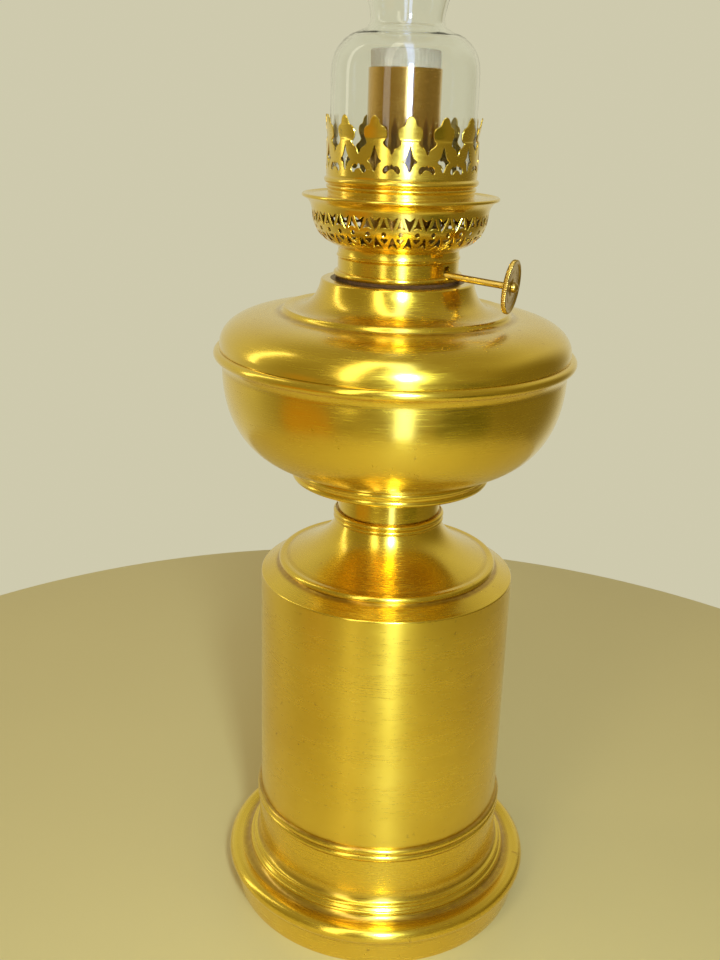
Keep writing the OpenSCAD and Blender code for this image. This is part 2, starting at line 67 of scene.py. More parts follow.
def bez(a, b, c, d, n=10):
    """Points on the cubic curve from a to d that b and c pull at."""
    out = []
    for i in range(n + 1):
        t = i / n
        s = 1 - t
        w = (s ** 3, 3 * s * s * t, 3 * s * t * t, t ** 3)
        out.append(tuple(w[0] * a[k] + w[1] * b[k] + w[2] * c[k] + w[3] * d[k] for k in (0, 1)))
    return out


def inset(p, t):
    """The same open curve, moved a distance t to the left of its direction."""
    out = []
    for i in range(len(p)):
        a, b = p[max(i - 1, 0)], p[min(i + 1, len(p) - 1)]
        d = np.array(b) - np.array(a)
        d = d / max(np.linalg.norm(d), 1e-9)
        out.append((p[i][0] - t * d[1], p[i][1] + t * d[0]))
    return out


def densify(p, step, closed=True):
    """The outline with points at most step apart."""
    out = []
    n = len(p)
    for i in range(n if closed else n - 1):
        a, b = p[i], p[(i + 1) % n]
        k = max(1, int(math.ceil(math.dist(a, b) / step)))
        for j in range(k):
            t = j / k
            out.append((a[0] + (b[0] - a[0]) * t, a[1] + (b[1] - a[1]) * t))
    if not closed:
        out.append(p[-1])
    return out


def ccw(p):
    """A closed outline that runs anticlockwise."""
    a = sum(p[i][0] * p[(i + 1) % len(p)][1] - p[(i + 1) % len(p)][0] * p[i][1] for i in range(len(p)))
    return p if a > 0 else p[::-1]


# ---------------------------------------------------------------- meshes
def make_object(name, verts, faces, sharp=32, tone=None):
    """A smooth-shaded object with edges kept sharp above an angle, and the tone of each vertex."""
    me = bpy.data.meshes.new(name)
    me.from_pydata([tuple(v) for v in verts], [], faces)
    me.validate(verbose=False)
    me.polygons.foreach_set("use_smooth", np.ones(len(me.polygons), bool))
    me.set_sharp_from_angle(angle=math.radians(sharp))
    if tone is not None:
        at = me.attributes.new("tone", "FLOAT", "POINT")
        at.data.foreach_set("value", np.asarray(tone, np.float32))
    ob = bpy.data.objects.new(name, me)
    bpy.context.scene.collection.objects.link(ob)
    return ob


def crease_tone(p, reach=1.6):
    """How deep in a crease each point of a closed outline lies: 0 on open metal, 1 in a sharp corner."""
    n = len(p)
    q = np.array(p, float)
    seg = np.linalg.norm(np.roll(q, -1, 0) - q, axis=1)
    turn = np.zeros(n)
    for i in range(n):
        a, b, c = q[i - 1], q[i], q[(i + 1) % n]
        u, v = b - a, c - b
        turn[i] = math.atan2(u[0] * v[1] - u[1] * v[0], u @ v)
    s = np.concatenate([[0], np.cumsum(seg)])[:n]
    total = seg.sum()
    out = np.zeros(n)
    for i in range(n):
        d = np.abs(s - s[i])
        d = np.minimum(d, total - d)
        w = np.exp(-(d / reach) ** 2)
        out[i] = -(turn * w).sum()
    return np.clip(out / 1.2, -1, 1)


def lathe(name, outline, segs=256, step=1.5, sharp=32, tone=None):
    """A turned piece: a closed outline of (radius, height) in mm, swept round the axis."""
    p = ccw(densify(outline, step))
    t = crease_tone(p) if tone is None else np.full(len(p), tone)
    ang = np.linspace(0, 2 * math.pi, segs, endpoint=False)
    ca, sa = np.cos(ang), np.sin(ang)
    verts, tones, rows = [], [], []
    for (r, z), tt in zip(p, t):
        if r < 1e-6:
            rows.append([len(verts)] * segs)
            verts.append((0, 0, z / 1000))
            tones.append(tt)
        else:
            rows.append(list(range(len(verts), len(verts) + segs)))
            verts.extend(zip(r * ca / 1000, r * sa / 1000, np.full(segs, z / 1000)))
            tones.extend([tt] * segs)
    faces = []
    n = len(p)
    for i in range(n):
        a, b = rows[i], rows[(i + 1) % n]
        if a[0] == a[1] and b[0] == b[1]:
            continue
        for j in range(segs):
            k = (j + 1) % segs
            if a[0] == a[1]:
                faces.append((a[j], b[k], b[j]))
            elif b[0] == b[1]:
                faces.append((a[j], a[k], b[j]))
            else:
                faces.append((a[j], a[k], b[k], b[j]))
    return make_object(name, verts, faces, sharp=sharp, tone=tones)


def smooth_path(points, n=5):
    """A smooth curve through the points, with n steps between two of them."""
    out = []
    for i in range(len(points) - 1):
        a, b = np.array(points[i], float), np.array(points[i + 1], float)
        p = np.array(points[max(i - 1, 0)], float)
        q = np.array(points[min(i + 2, len(points) - 1)], float)
        for k in range(n):
            t = k / n
            out.append(tuple(0.5 * ((2 * a) + (b - p) * t + (2 * p - 5 * a + 4 * b - q) * t * t
                                    + (3 * a - p - 3 * b + q) * t ** 3)))
    out.append(tuple(points[-1]))
    return out


def mirrored(half):
    """A closed outline from its right half, which runs from bottom to top on the line u = 0."""
    left = [(-u, z) for u, z in half[::-1] if u > 1e-6]
    return list(half) + left


def shift(p, du):
    """The outline, moved du along the sheet."""
    return [(u + du, z) for u, z in p]


def grown(p, d, closed=True):
    """Each point moved a distance d to the right of the outline's direction."""
    q = np.array(p, float)
    n = len(q)
    out = []
    for i in range(n):
        a = q[i - 1] if closed or i > 0 else q[i]
        b = q[(i + 1) % n] if closed or i < n - 1 else q[i]
        e1, e2 = q[i] - a, b - q[i]
        v = np.zeros(2)
        for e in (e1, e2):
            ln = np.linalg.norm(e)
            if ln > 1e-9:
                v += np.array([e[1], -e[0]]) / ln
        ln = np.linalg.norm(v)
        v = v / max(ln, 1e-9)
        ln = max(ln / 2, 0.6) if ln > 1.2 else 1.0
        out.append(tuple(q[i] + v * d / ln))
    return out


def inside(poly, pts):
    """Which of the points lie inside the polygon."""
    x, y = pts[:, 0], pts[:, 1]
    r = np.zeros(len(pts), bool)
    n = len(poly)
    for i in range(n):
        (x1, y1), (x2, y2) = poly[i], poly[(i + 1) % n]
        if y1 == y2:
            continue
        c = ((y1 > y) != (y2 > y)) & (x < (x2 - x1) * (y - y1) / (y2 - y1) + x1)
        r ^= c
    return r


def clearance(segs, pts):
    """The distance from each point to the nearest of the segments."""
    best = np.full(len(pts), 1e9)
    for a, b in segs:
        a, b = np.array(a), np.array(b)
        d = b - a
        t = np.clip(((pts - a) @ d) / max(d @ d, 1e-12), 0, 1)
        best = np.minimum(best, np.linalg.norm(pts - (a + t[:, None] * d), axis=1))
    return best


def pierced(name, sectors, r_ref, radius, side, z0, z1, holes, top=None, thick=0.5, edge=0.12, step=0.8,
            start=-90.0, extra=None):
    """A pierced sheet of revolution. One sector is drawn flat, as (along the sheet at radius r_ref, height);
    its edges are softened, it is given a thickness, and it is repeated round the axis."""
    pitch = 2 * math.pi * r_ref / sectors
    side = densify(side, step, closed=False)
    right = shift(side, pitch)
    if top is None:
        rim = densify([(side[-1][0] + pitch, z1), (side[-1][0], z1)], step, closed=False)[1:-1]
        rim_true = None
    else:
        rim_true = top
        rim = grown(top, -edge, closed=False)
        rim[0] = right[-1]
        rim[-1] = side[-1]
        rim = rim[1:-1]
    base = densify([(side[0][0], z0), (side[0][0] + pitch, z0)], step, closed=False)[1:-1]
    outline = base + right + rim + side[::-1]
    n_base, n_side = len(base), len(side)
    pts = list(outline)
    edges = [(i, (i + 1) % len(outline)) for i in range(len(outline))]
    loops = []
    for h in holes:
        h = ccw(h)
        g = grown(h, edge)
        ids = list(range(len(pts), len(pts) + len(g)))
        pts += g
        edges += [(ids[i], ids[(i + 1) % len(ids)]) for i in range(len(ids))]
        loops.append((ids, h))
    us = np.arange(min(p[0] for p in outline), max(p[0] for p in outline), step)
    zs = np.arange(z0 + step / 2, max(p[1] for p in outline), step * 0.87)
    grid = np.array([(u + (step / 2 if j % 2 else 0), z) for j, z in enumerate(zs) for u in us])
    keep = inside(outline, grid)
    for ids, h in loops:
        keep &= ~inside([pts[i] for i in ids], grid)
    segs = [(pts[a], pts[b]) for a, b in edges]
    keep &= clearance(segs, grid) > 0.3 * step
    pts += [tuple(p) for p in grid[keep]]
    vs, _, fs, orig, _, _ = geometry.delaunay_2d_cdt([Vector(p) for p in pts], edges, [], 1, 1e-6, True)
    back = [o[0] if o else -1 for o in orig]
    bad = [tuple(vs[k]) for k in range(len(vs)) if not orig[k]]
    assert not bad, (name, bad[:6])
    tri = np.array([[back[i] for i in f] for f in fs])
    mid = np.array(pts)[tri].mean(1)
    ok = inside(outline, mid)
    for ids, h in loops:
        ok &= ~inside([pts[i] for i in ids], mid)
    tri = tri[ok]
    a, b, c = (np.array(pts)[tri[:, k]] for k in range(3))
    turn = (b[:, 0] - a[:, 0]) * (c[:, 1] - a[:, 1]) - (b[:, 1] - a[:, 1]) * (c[:, 0] - a[:, 0])
    tri[turn < 0] = tri[turn < 0][:, ::-1]

    verts, faces = [], []
    n_flat = len(pts)
    true_pts = []
    bands = []
    for ids, h in loops:
        bands.append((ids, list(range(len(true_pts), len(true_pts) + len(h))), True))
        true_pts += h
    if rim_true is not None:
        ids = [n_base + n_side - 1] + list(range(n_base + n_side, n_base + n_side + len(rim))) \
            + [n_base + n_side + len(rim)]
        bands.append((ids, list(range(len(true_pts), len(true_pts) + len(rim_true))), False))
        true_pts += rim_true
    n_true = len(true_pts)
    stride = 2 * n_flat + 2 * n_true
    # the right side of one sector is the left side of the next
    twin = {}
    for k in range(n_side):
        twin[n_base + k] = len(outline) - 1 - k
    rim_twin = {}
    if rim_true is not None:
        rim_twin[bands[-1][1][0]] = bands[-1][1][-1]

    def place(u, z, depth, s):
        r, nr, nz = radius(z)
        a = math.radians(start) + s * 2 * math.pi / sectors + u / r_ref
        rr = r - depth * nr
        return (rr * math.cos(a) / 1000, rr * math.sin(a) / 1000, (z - depth * nz) / 1000), \
            (nr * math.cos(a), nr * math.sin(a), nz)

    norm_of = []
    for s in range(sectors):
        for depth in (0, thick):
            for u, z in pts:
                p, n = place(u, z, depth, s)
                verts.append(p)
                norm_of.append(n if depth == 0 else tuple(-c for c in n))
        for depth in (edge, thick - edge):
            for u, z in true_pts:
                p, n = place(u, z, depth, s)
                verts.append(p)
                norm_of.append(n)

    def flat_id(s, i, layer):
        if i in twin:
            s, i = (s + 1) % sectors, twin[i]
        return s * stride + layer * n_flat + i

    def true_id(s, i, layer):
        if i in rim_twin:
            s, i = (s + 1) % sectors, rim_twin[i]
        return s * stride + 2 * n_flat + layer * n_true + i

    loops_n = []

    def add(face, kind):
        faces.append(face)
        loops_n.append(kind)

    for s in range(sectors):
        for a, b, c in tri:
            add((flat_id(s, a, 0), flat_id(s, b, 0), flat_id(s, c, 0)), 1)
            add((flat_id(s, c, 1), flat_id(s, b, 1), flat_id(s, a, 1)), 1)
        for ids, tr, closed in bands:
            n = len(ids)
            for k in range(n if closed else n - 1):
                m = (k + 1) % n
                f0, f1 = flat_id(s, ids[k], 0), flat_id(s, ids[m], 0)
                g0, g1 = flat_id(s, ids[k], 1), flat_id(s, ids[m], 1)
                t0, t1 = true_id(s, tr[k], 0), true_id(s, tr[m], 0)
                b0, b1 = true_id(s, tr[k], 1), true_id(s, tr[m], 1)
                if closed:
                    add((f0, f1, t1, t0), 0)
                    add((t0, t1, b1, b0), 0)
                    add((b0, b1, g1, g0), 0)
                else:
                    add((t0, t1, f1, f0), 0)
                    add((b0, b1, t1, t0), 0)
                    add((g0, g1, b1, b0), 0)
        low = [len(outline) - 1] + list(range(n_base)) + [n_base]
        for a, b in zip(low, low[1:]):
            add((flat_id(s, a, 1), flat_id(s, b, 1), flat_id(s, b, 0), flat_id(s, a, 0)), 0)
        if rim_true is None:
            high = [n_base + n_side - 1 + k for k in range(len(rim) + 2)]
            for a, b in zip(high, high[1:]):
                add((flat_id(s, a, 1), flat_id(s, b, 1), flat_id(s, b, 0), flat_id(s, a, 0)), 0)
    used = sorted({i for f in faces for i in f})
    remap = {v: k for k, v in enumerate(used)}
    faces = [tuple(remap[i] for i in f) for f in faces]
    verts = [verts[i] for i in used]
    norm_of = [norm_of[i] for i in used]
    # The inner face gets tone 1, which the brass material turns into painted shade, so the holes look dark.
    tones = [float(n_flat <= i % stride < 2 * n_flat) for i in used]
    if extra:
        off = len(verts)
        ev, ef = extra
        verts += ev
        tones += [0.0] * len(ev)
        faces += [tuple(i + off for i in f) for f in ef]
        loops_n += [2] * len(ef)
    me = bpy.data.meshes.new(name)
    me.from_pydata(verts, [], faces)
    me.polygons.foreach_set("use_smooth", np.ones(len(faces), bool))
    me.set_sharp_from_angle(angle=math.radians(32))
    cn = [tuple(c.vector) for c in me.corner_normals]
    k = 0
    for f, kind in zip(faces, loops_n):
        for i in f:
            if kind == 1:
                cn[k] = norm_of[i]
            k += 1
    k = 0
    for p, kind in zip(me.polygons, loops_n):
        if kind == 0:
            for j in p.loop_indices:
                cn[j] = tuple(p.normal)
    me.normals_split_custom_set(cn)
    me.attributes.new("tone", "FLOAT", "POINT").data.foreach_set("value", tones)
    ob = bpy.data.objects.new(name, me)
    bpy.context.scene.collection.objects.link(ob)
    return ob


def turned_mesh(outline, segs=256, step=1.0):
    """Vertices in metres and faces of a closed turned outline, for joining into a bigger mesh."""
    p = ccw(densify(outline, step))
    ang = [2 * math.pi * j / segs for j in range(segs)]
    verts = [(r * math.cos(a) / 1000, r * math.sin(a) / 1000, z / 1000) for r, z in p for a in ang]
    n = len(p)
    rows = [(i * segs, (i + 1) % n * segs) for i in range(n)]
    faces = [(a + j, a + (j + 1) % segs, b + (j + 1) % segs, b + j) for a, b in rows for j in range(segs)]
    return verts, faces


def profile_fn(curve):
    """A function of the height: the radius and unit normal of a turned curve that rises all the way."""
    c = np.array(curve, float)
    zz = np.arange(c[0, 1], c[-1, 1], 0.05)
    rr = np.interp(zz, c[:, 1], c[:, 0])
    ker = np.ones(9) / 9
    pad = np.concatenate([rr[0] + (rr[0] - rr[4:0:-1]), rr, rr[-1] + (rr[-1] - rr[-2:-6:-1])])
    rs = np.convolve(pad, ker, "valid")
    dr = np.gradient(rs, zz)

    def f(z):
        r = float(np.interp(z, zz, rs))
        d = float(np.interp(z, zz, dr))
        ln = math.hypot(1, d)
        return r, 1 / ln, -d / ln
    return f


# ---------------------------------------------------------------- material helpers
def add_node(tree, kind, inputs=None, **props):
    """A node in a tree, with its properties, and its inputs set to values or linked to sockets."""
    n = tree.nodes.new(kind)
    for k, v in props.items():
        setattr(n, k, v)
    for k, v in (inputs or {}).items():
        if isinstance(v, bpy.types.NodeSocket):
            tree.links.new(v, n.inputs[k])
        else:
            n.inputs[k].default_value = v
    return n


def add_mix(tree, f, a, b):
    """The blend of two colours: a where f is 0, b where it is 1."""
    return add_node(tree, "ShaderNodeMix", {0: f, 6: a, 7: b}, data_type="RGBA").outputs[2]


class Graph:
    """A material with one Principled shader, and short names for the nodes that feed it."""

    def __init__(self, name):
        self.mat = bpy.data.materials.new(name)
        self.mat.use_nodes = True
        self.t = self.mat.node_tree
        self.t.nodes.clear()
        self.out = self.t.nodes.new("ShaderNodeOutputMaterial")
        self.bsdf = self.t.nodes.new("ShaderNodeBsdfPrincipled")
        self.t.links.new(self.bsdf.outputs[0], self.out.inputs[0])
        self.xyz = self.t.nodes.new("ShaderNodeTexCoord").outputs["Object"]

    def node(self, kind, inputs=None, **props):
        return add_node(self.t, kind, inputs, **props)

    def math(self, op, a, b):
        return self.node("ShaderNodeMath", {0: a, 1: b}, operation=op).outputs[0]

    def span(self, v, a, b, lo=0.0, hi=1.0):
        return self.node("ShaderNodeMapRange", {0: v, 1: a, 2: b, 3: lo, 4: hi}).outputs[0]

    def noise(self, vec, scale=1.0, detail=2.0, rough=0.5, w=None):
        i = {"Scale": scale, "Detail": detail, "Roughness": rough, "Vector": vec}
        if w is not None:
            i["W"] = w
        return self.node("ShaderNodeTexNoise", i, noise_dimensions="4D" if w is not None else "3D").outputs[0]

    def mix(self, f, a, b):
        return add_mix(self.t, f, a, b)

    def attr(self, name):
        return self.node("ShaderNodeAttribute", attribute_name=name).outputs["Fac"]

    def put(self, key, v):
        if isinstance(v, bpy.types.NodeSocket):
            self.t.links.new(v, self.bsdf.inputs[key])
        else:
            self.bsdf.inputs[key].default_value = v

    def bump(self, height, distance, strength):
        i = {"Height": height, "Distance": distance, "Strength": strength}
        return self.node("ShaderNodeBump", i).outputs[0]

    def squeezed(self, factors):
        """The object's coordinates, scaled axis by axis."""
        return self.node("ShaderNodeVectorMath", {0: self.xyz, 1: factors}, operation="MULTIPLY").outputs[0]


def turned_coords(g):
    """Unit direction round the axis, height and radius of the shading point."""
    sep = g.node("ShaderNodeSeparateXYZ", {0: g.xyz})
    x, y, z = sep.outputs
    flat = g.node("ShaderNodeCombineXYZ", {0: x, 1: y, 2: 0.0}).outputs[0]
    unit = g.node("ShaderNodeVectorMath", {0: flat}, operation="NORMALIZE").outputs[0]
    r = g.node("ShaderNodeVectorMath", {0: flat}, operation="LENGTH").outputs["Value"]
    return unit, z, r


def grain(g, unit, z, r, round_k, across, detail=2.0, rough=0.5):
    """Noise drawn out round the axis: round_k features a radian, across features a metre."""
    su = g.node("ShaderNodeVectorMath", {0: unit, "Scale": round_k}, operation="SCALE").outputs[0]
    s = g.node("ShaderNodeSeparateXYZ", {0: su})
    up = g.math("MULTIPLY", z, across)
    v = g.node("ShaderNodeCombineXYZ", {0: s.outputs[0], 1: s.outputs[1], 2: up}).outputs[0]
    return g.noise(v, 1.0, detail, rough, w=g.math("MULTIPLY", r, across))


def brass(name, light, deep, tarnish_and_shade, rough, spots=1.0, lines=1.0, aniso=0.6, coat=0.7):
    """Turned brass: light and deep clouds, fine turning lines, dark freckles, darker metal in the creases,
    and painted shade on the inner face of pierced sheets.
    """
    g = Graph(name)
    unit, z, r = turned_coords(g)
    rings = grain(g, unit, z, r, 0.12, 1000, 3, 0.6)
    dashes = grain(g, unit, z, r, 9, 2600, 2, 0.6)
    bands = grain(g, unit, z, r, 0.5, 90, 3, 0.5)
    cloud = g.noise(g.xyz, 22, 4, 0.55)
    fleck = g.noise(g.xyz, 330, 3, 0.6)
    freckle = g.math("MULTIPLY", g.span(fleck, 0.655, 0.74), g.span(cloud, 0.42, 0.62))
    tone = g.attr("tone")
    # Darker in the creases of turned pieces; where the tone is 1, on the inner face of pierced sheets, this
    # mix is painted shade that makes the holes look dark.
    crease_and_inner_shade = g.math("MULTIPLY", g.span(tone, 0.12, 0.75), g.span(fleck, 0.2, 0.6, 0.55, 1.0))
    col = g.mix(g.span(cloud, 0.35, 0.68), light, deep)
    col = g.mix(g.math("MULTIPLY", g.span(rings, 0.45, 0.75), 0.15), col, deep)
    col = g.mix(g.math("MULTIPLY", crease_and_inner_shade, 0.7), col, tarnish_and_shade)
    col = g.mix(g.math("MULTIPLY", freckle, 0.6 * spots), col, tarnish_and_shade)
    g.put("Base Color", col)
    g.put("Metallic", 1.0)
    ro = g.math("ADD", g.span(dashes, 0.3, 0.7, rough - 0.04, rough + 0.06), g.math("MULTIPLY", crease_and_inner_shade, 0.08))
    ro = g.math("ADD", ro, g.math("MULTIPLY", freckle, 0.18))
    ro = g.math("ADD", ro, g.span(bands, 0.3, 0.7, -0.03, 0.04))
    g.put("Roughness", ro)
    g.put("Anisotropic", aniso)
    g.put("Anisotropic Rotation", 0.25)
    g.put("Tangent", g.node("ShaderNodeTangent", direction_type="RADIAL", axis="Z").outputs[0])
    g.put("Coat Weight", coat)
    g.put("Coat Roughness", 0.16)
    g.put("Coat IOR", 1.5)
    h = g.math("ADD", rings, g.math("MULTIPLY", dashes, 0.5))
    g.put("Normal", g.bump(h, 0.00003 * lines, 0.8))
    return g.mat


LIGHT, DEEP, DARK = (0.90, 0.645, 0.06, 1), (0.80, 0.545, 0.035, 1), (0.30, 0.13, 0.015, 1)
PILLAR = brass("brushed_brass", LIGHT, DEEP, DARK, rough=0.29, aniso=0.78, lines=0.5, coat=0.8)
BRASS = brass("spun_brass", LIGHT, DEEP, DARK, rough=0.23, aniso=0.66, lines=0.22)
DOME = brass("burnished_brass", LIGHT, DEEP, DARK, rough=0.23, aniso=0.4, lines=0.25)
# Its darkest colour is painted shade on the inner face of the basket and crown, and also the colour of its
# dark freckles.
PRESSED = brass("pressed_brass", (0.90, 0.65, 0.08, 1), (0.80, 0.55, 0.05, 1), (0.12, 0.065, 0.012, 1),
                rough=0.22, spots=1.2, lines=0.3, aniso=0.35)
AGED = brass("aged_brass", (0.66, 0.45, 0.08, 1), (0.46, 0.29, 0.05, 1), (0.11, 0.05, 0.012, 1),
             rough=0.30, spots=1.6, aniso=0.2, coat=0.4)
SOOTY = brass("sooty_brass", (0.30, 0.19, 0.05, 1), (0.20, 0.12, 0.03, 1), (0.05, 0.03, 0.012, 1),
              rough=0.42, spots=1.6, aniso=0.0, coat=0.0)
TUBE = brass("heated_tube_brass", (0.76, 0.46, 0.09, 1), (0.58, 0.32, 0.05, 1), (0.18, 0.08, 0.02, 1),
             rough=0.20, spots=0.8, aniso=0.6, lines=0.15)


def glass():
    g = Graph("chimney_glass")
    g.put("Base Color", (0.985, 1.0, 0.992, 1))
    g.put("Roughness", 0.0)
    g.put("IOR", 1.5)
    g.put("Transmission Weight", 1.0)
    n = g.noise(g.squeezed((1, 1, 0.35)), 60, 2, 0.5)
    g.put("Normal", g.bump(n, 0.0004, 0.25))
    return g.mat


def cotton():
    g = Graph("knitted_cotton")
    n = g.noise(g.xyz, 900, 3, 0.6)
    soft = g.noise(g.xyz, 120, 3, 0.5)
    col = g.mix(g.span(soft, 0.35, 0.65), (0.84, 0.70, 0.46, 1), (0.70, 0.57, 0.36, 1))
    col = g.mix(g.math("MULTIPLY", g.span(n, 0.4, 0.7), 0.3), col, (0.88, 0.78, 0.58, 1))
    g.put("Base Color", col)
    g.put("Roughness", 0.92)
    g.put("Sheen Weight", 0.35)
    g.put("Sheen Roughness", 0.5)
    g.put("Normal", g.bump(n, 0.0002, 0.7))
    return g.mat


def felt():
    g = Graph("green_felt")
    n = g.noise(g.xyz, 1500, 4, 0.7)
    soft = g.noise(g.xyz, 60, 3, 0.5)
    g.put("Base Color", g.mix(g.span(soft, 0.3, 0.7), (0.035, 0.085, 0.05, 1), (0.06, 0.125, 0.075, 1)))
    g.put("Roughness", 0.95)
    g.put("Sheen Weight", 0.4)
    g.put("Normal", g.bump(n, 0.0004, 0.8))
    return g.mat


def gasket():
    g = Graph("cork_rubber")
    n = g.noise(g.xyz, 700, 4, 0.6)
    g.put("Base Color", g.mix(g.span(n, 0.35, 0.65), (0.045, 0.02, 0.006, 1), (0.09, 0.04, 0.012, 1)))
    g.put("Roughness", 0.85)
    g.put("Specular IOR Level", 0.15)
    g.put("Normal", g.bump(n, 0.0002, 0.5))
    return g.mat


def cast_iron():
    g = Graph("cast_iron")
    n = g.noise(g.xyz, 500, 5, 0.65)
    g.put("Base Color", g.mix(g.span(n, 0.35, 0.7), (0.055, 0.052, 0.05, 1), (0.12, 0.085, 0.06, 1)))
    g.put("Metallic", 0.6)
    g.put("Roughness", g.span(n, 0.3, 0.7, 0.55, 0.8))
    g.put("Normal", g.bump(n, 0.0006, 0.7))
    return g.mat


def plate_steel():
    g = Graph("sheet_steel")
    n = g.noise(g.squeezed((1, 30, 1)), 60, 4, 0.6)
    c = g.noise(g.xyz, 35, 4, 0.6)
    col = g.mix(g.span(c, 0.4, 0.7), (0.56, 0.55, 0.52, 1), (0.42, 0.38, 0.33, 1))
    g.put("Base Color", col)
    g.put("Metallic", 1.0)
    g.put("Roughness", g.span(n, 0.3, 0.7, 0.34, 0.5))
    g.put("Normal", g.bump(n, 0.00005, 0.6))
    return g.mat


GLASS, COTTON, FELT, GASKET, IRON, STEEL = glass(), cotton(), felt(), gasket(), cast_iron(), plate_steel()


def dress(ob, mat):
    """Give an object this one material."""
    ob.data.materials.clear()
    ob.data.materials.append(mat)
    return ob


def new_piece(ob, body, slot, mat, *stands_for):
    """Put a new mesh on its body, with its material, in place of the CAD nodes it stands for. The slot is not
    used.
    """
    dress(ob, mat)
    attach(ob, body)
    if stands_for:
        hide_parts(*stands_for)
    return ob


# ---------------------------------------------------------------- stand
foot = (
    [(60.8, 0), (61.3, 2), (62.8, 11.5), (63.0, 12.0)]
    + arc((61.1, 13.6), 3.3, -28, 95, 28)
    + bez((59.2, 16.6), (58.3, 16.2), (56.6, 16.1), (55.4, 17.6), 12)
    + arc((54.4, 18.5), 0.9, -30, 90, 10)
    + arc((53.2, 20.8), 0.8, -50, 90, 10)
    + bez((52.6, 21.9), (51.9, 22.6), (51.3, 24), (51.3, 26), 10)
    + [(51.3, FOOT_H), (50.6, FOOT_H), (50.6, 24.5), (52.4, 20), (54, 17), (56.6, 15.4), (61, 15.6),
       (62.8, 14.6), (63.3, 13.3), (62.5, 12.4), (61.9, 11.4), (60.6, 2.2), (60.1, 0)]
)
new_piece(lathe("foot", foot), "stand", "brass", BRASS, "foot_shell")

bead = (arc((50.6, FOOT_H + 1.5), 1.5, -90, 75, 16) + arc((50.5, FOOT_H + 4.3), 1.6, -60, 90, 16)
        + [(50.6, FOOT_H + 5.9), (50.6, FOOT_H)])
new_piece(lathe("foot_bead_ring", bead), "stand", "brass", BRASS, "foot_bead")

pillar = [(49.8, FOOT_H + 5.9), (50.5, FOOT_H + 5.9), (50.5, CAP_Z), (49.8, CAP_Z)]
new_piece(lathe("pillar", pillar, step=4), "stand", "brass", PILLAR, "pillar_tube")

cap = (
    [(50.5, CAP_Z)] + arc((49.8, CAP_Z), 0.7, 10, 62, 6)
    + bez((49.6, CAP_Z + 0.8), (47.5, CAP_Z + 1.9), (45.5, CAP_Z + 3), (43.5, CAP_Z + 3.8), 10)
    + arc((42, CAP_Z + 5.4), 1.5, -50, 90, 16)
    + bez((41.2, CAP_Z + 6.9), (40.6, CAP_Z + 6.7), (40, CAP_Z + 6.9), (39.4, CAP_Z + 7.2), 5)
    + bez((38.4, CAP_Z + 7.7), (31.5, CAP_Z + 10.8), (23.5, CAP_Z + 15), (21.1, CAP_Z + CAP_H), 40)
    + [(21.06, CAP_Z + CAP_H), (21.06, CAP_Z + 19.5)]
    + bez((22, CAP_Z + 16.4), (25, CAP_Z + 12.6), (31.5, CAP_Z + 9.4), (38.4, CAP_Z + 6.6), 10)
    + [(41.2, CAP_Z + 5.2), (43, CAP_Z + 3.1), (49.4, CAP_Z), (49.8, CAP_Z)]
)
new_piece(lathe("cap", cap), "stand", "brass", BRASS, "pillar_cap")

collar = ([(21.1, COLLAR_Z)] + arc((20.9, COLLAR_Z + 1.1), 1, -70, 60, 12)
          + arc((20.8, COLLAR_Z + 3.1), 1.15, -55, 72, 12) + [(21.06, COLLAR_Z + 4.3), (21.06, COLLAR_Z)])
new_piece(lathe("collar_ring", collar, segs=192), "stand", "brass", BRASS, "neck_collar")

# ---------------------------------------------------------------- font
stem = [(0, 132), (19.2, 132), (20.2, 133), (20.2, FONT_Z + 1.4), (19.5, FONT_Z + 1.4), (19.5, 133.7),
        (0, 133.7)]
new_piece(lathe("stem", stem, segs=192, step=3), "font", "brass", BRASS, "font_stem")

foot_ring = (
    [(20.2, FONT_Z + 0.6), (36.5, FONT_Z)] + arc((37.2, FONT_Z + 1.4), 1.4, -80, 50, 14)
    + arc((37.5, FONT_Z + 4.4), 1.3, -50, 50, 12)
    + [(38.2, BOWL_Z - 0.2), (36.1, BOWL_Z - 0.9), (35.5, FONT_Z + 1.6), (20.2, FONT_Z + 1.4)]
)
new_piece(lathe("font_ring", foot_ring), "font", "brass", BRASS, "font_foot_ring")

bowl = (
    [(20.22, FONT_Z + 1.5), (35.3, FONT_Z + 1.8), (36.0, BOWL_Z - 0.7), (38.3, BOWL_Z)]
    + bez((39.7, BOWL_Z + 0.4), (55.7, BOWL_Z + 3.3), (65.2, BOWL_Z + 16.8), (65.2, SEAM_Z - 5.7), 56)
    + bez((65.2, SEAM_Z - 5.2), (65.3, SEAM_Z - 4), (65.8, SEAM_Z - 3), (66.5, SEAM_Z - 2.2), 8)
    + [(65.8, SEAM_Z - 1.6)]
    + bez((64.5, SEAM_Z - 5.5), (64.5, BOWL_Z + 17.2), (55.0, BOWL_Z + 4.1), (39.1, BOWL_Z + 1.1), 20)
    + [(35.3, BOWL_Z + 0.2), (34.4, FONT_Z + 2.5), (20.22, FONT_Z + 2.2)]
)
new_piece(lathe("bowl", bowl, segs=320), "font", "brass", BRASS, "font_bowl")

seam = ([(66.5, SEAM_Z - 2.2)] + arc((66.4, SEAM_Z), 2, -72, 75, 24)
        + [(65.5, SEAM_Z + 1.9), (65.5, SEAM_Z - 1.3), (65.9, SEAM_Z - 1.66)])
new_piece(lathe("seam_ring", seam, segs=320), "font", "brass", BRASS, "seam_bead")

